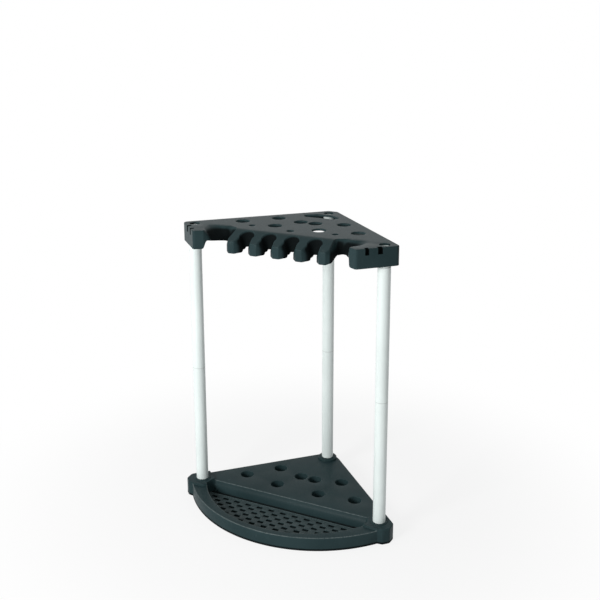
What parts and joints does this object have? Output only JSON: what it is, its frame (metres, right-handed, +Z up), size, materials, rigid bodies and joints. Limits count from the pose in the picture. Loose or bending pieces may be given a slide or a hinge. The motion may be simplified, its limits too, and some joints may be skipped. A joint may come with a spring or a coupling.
{
  "type": "garden tool rack",
  "caption": "Freestanding corner rack for long-handled garden tools: bowed base with drip tray, three tubular posts, and a pierced top with hanging fingers.",
  "frame": {"origin": "on the floor, under the centre of the outline", "axes": "+Z up, -Y towards the bowed front, X = 0 the plane of symmetry"},
  "size_m": [0.747, 0.5663, 0.95],
  "materials": {
    "dark_plastic": "satin moulded",
    "tube_plastic": "satin extruded",
    "joiner_plastic": "matte moulded"
  },
  "bodies": {
    "root": {"rack_top": "dark_plastic", "base_tray": "dark_plastic", "drip_grid": "dark_plastic", "lower_tube_back": "tube_plastic", "lower_tube_right": "tube_plastic", "lower_tube_left": "tube_plastic", "upper_tube_back": "tube_plastic", "upper_tube_right": "tube_plastic", "upper_tube_left": "tube_plastic", "tube_joiner_back": "joiner_plastic", "tube_joiner_right": "joiner_plastic", "tube_joiner_left": "joiner_plastic"}
  },
  "joints": []
}
